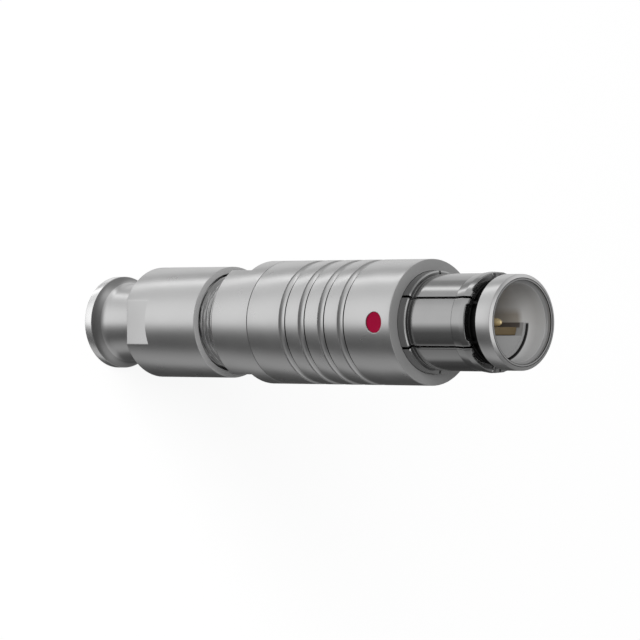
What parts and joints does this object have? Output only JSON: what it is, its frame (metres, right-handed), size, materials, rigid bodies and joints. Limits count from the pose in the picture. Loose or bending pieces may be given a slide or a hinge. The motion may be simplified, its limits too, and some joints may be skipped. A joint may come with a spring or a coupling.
{
  "type": "circular push-pull connector",
  "caption": "Round push-pull cable plug with a sprung latch sleeve, a sliding release sleeve, a keyed insert with contact pins and a screwed back nut.",
  "frame": {"origin": "centre of the cable end's face, at the foot of the part as it stands on that end", "axes": "+Z along the axis from the cable end to the mating end; -Y faces the side with the index dot; +X is the side of the keying segment"},
  "size_m": [0.012, 0.012, 0.0555],
  "materials": {
    "satin_nickel": "satin nickel plating, bead-blasted and turned",
    "dark_nickel": "polished dark nickel plating",
    "bright_nickel": "bright nickel plating, turned",
    "shell_grey": "matt nickel, even grey",
    "insert_brown": "natural brown moulding",
    "contact_gold": "gold plated",
    "dot_crimson": "filled enamel",
    "seal_rubber": "matt black",
    "plain_brass": "turned"
  },
  "bodies": {
    "housing": {"rear_housing": "bright_nickel", "nose_tube": "bright_nickel", "guide_key": "bright_nickel", "body_seal": "seal_rubber", "lower_half_shell": "shell_grey", "upper_half_shell": "shell_grey", "contact_insulator": "insert_brown", "insulator_stop_ring": "insert_brown", "contact_pin_1": "contact_gold", "contact_pin_2": "contact_gold", "clamp_collet": "bright_nickel", "shield_cone": "bright_nickel"},
    "release": {"release_sleeve": "satin_nickel", "sleeve_end_ring": "satin_nickel", "index_dot": "dot_crimson", "retaining_clip": "bright_nickel", "spacer_bush": "plain_brass", "latch_sleeve": "dark_nickel"},
    "gland": {"pressure_washer": "plain_brass", "cable_seal": "seal_rubber"},
    "nut": {"back_nut": "satin_nickel"}
  },
  "joints": [
    {"name": "sleeve_release", "type": "slide", "parent": "housing", "child": "release", "axis": [0, 0, 1], "range_m": [-0.0013, 0], "stiffness_N_per_m": 500, "springref_m": 0.002},
    {"name": "gland_slide", "type": "slide", "parent": "housing", "child": "gland", "axis": [0, 0, 1], "range_m": [-0.0005, 0.001]},
    {"name": "nut_turn", "type": "hinge", "parent": "gland", "child": "nut", "pos_m": [0, 0, 0.0118], "axis": [0, 0, 1], "range_deg": [-360, 720]}
  ],
  "couplings": [
    {"joint": "nut_turn", "follows": "gland_slide", "rad_per_m": 12566}
  ]
}
